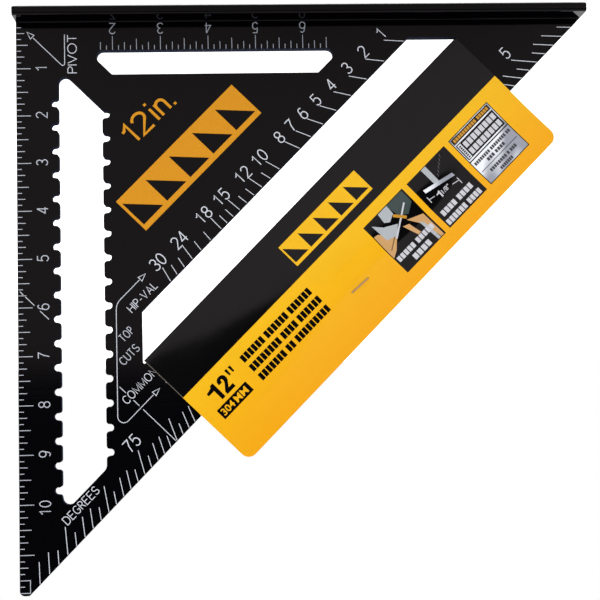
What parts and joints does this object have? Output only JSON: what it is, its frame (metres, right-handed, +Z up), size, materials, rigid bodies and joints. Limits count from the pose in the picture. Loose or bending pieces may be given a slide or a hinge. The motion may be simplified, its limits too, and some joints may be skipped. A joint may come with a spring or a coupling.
{
  "type": "rafter square",
  "caption": "Triangular layout square with a T-shaped fence, three slots, etched scales and a stapled card sleeve round its long leg.",
  "frame": {"origin": "centre of the fence's outer face, on which the square stands", "axes": "+Z up from the fence into the plate, marked face toward -Y, pivot corner and ruled edge at +X"},
  "size_m": [0.3048, 0.0286, 0.3047],
  "materials": {
    "black_aluminium": "black anodised extrusion, semi-gloss",
    "silver_mark": "fine silver-white etched lines",
    "orange_mark": "flat orange ink",
    "printed_card": "glossy printed paperboard, black band and yellow field",
    "staple_wire": "bare round staple wire"
  },
  "bodies": {
    "square": {"square_body": "black_aluminium", "edge_inch_ticks": "silver_mark", "edge_inch_numerals": "silver_mark", "slot_inch_ticks": "silver_mark", "slot_inch_numerals": "silver_mark", "pivot_arrow": "silver_mark", "pivot_legend": "silver_mark", "hip_valley_ticks": "silver_mark", "hip_valley_numerals": "silver_mark", "hip_valley_legend": "silver_mark", "top_cuts_legend": "silver_mark", "common_legend": "silver_mark", "rafter_scale_arrows": "silver_mark", "common_ticks": "silver_mark", "common_numerals": "silver_mark", "degree_ticks": "silver_mark", "degree_numerals": "silver_mark", "degrees_legend": "silver_mark", "layout_line": "silver_mark", "size_mark": "orange_mark", "badge": "orange_mark"},
    "sleeve": {"card_front_panel": "printed_card", "card_front_fold": "printed_card", "card_front_flap": "printed_card", "card_spine": "printed_card", "card_back_panel": "printed_card", "card_back_fold": "printed_card", "card_back_flap": "printed_card", "staple": "staple_wire"}
  },
  "joints": [
    {"name": "sleeve_slide", "type": "slide", "parent": "square", "child": "sleeve", "axis": [-0.7071, 0, -0.7071], "range_m": [-0.001, 0.001]}
  ]
}
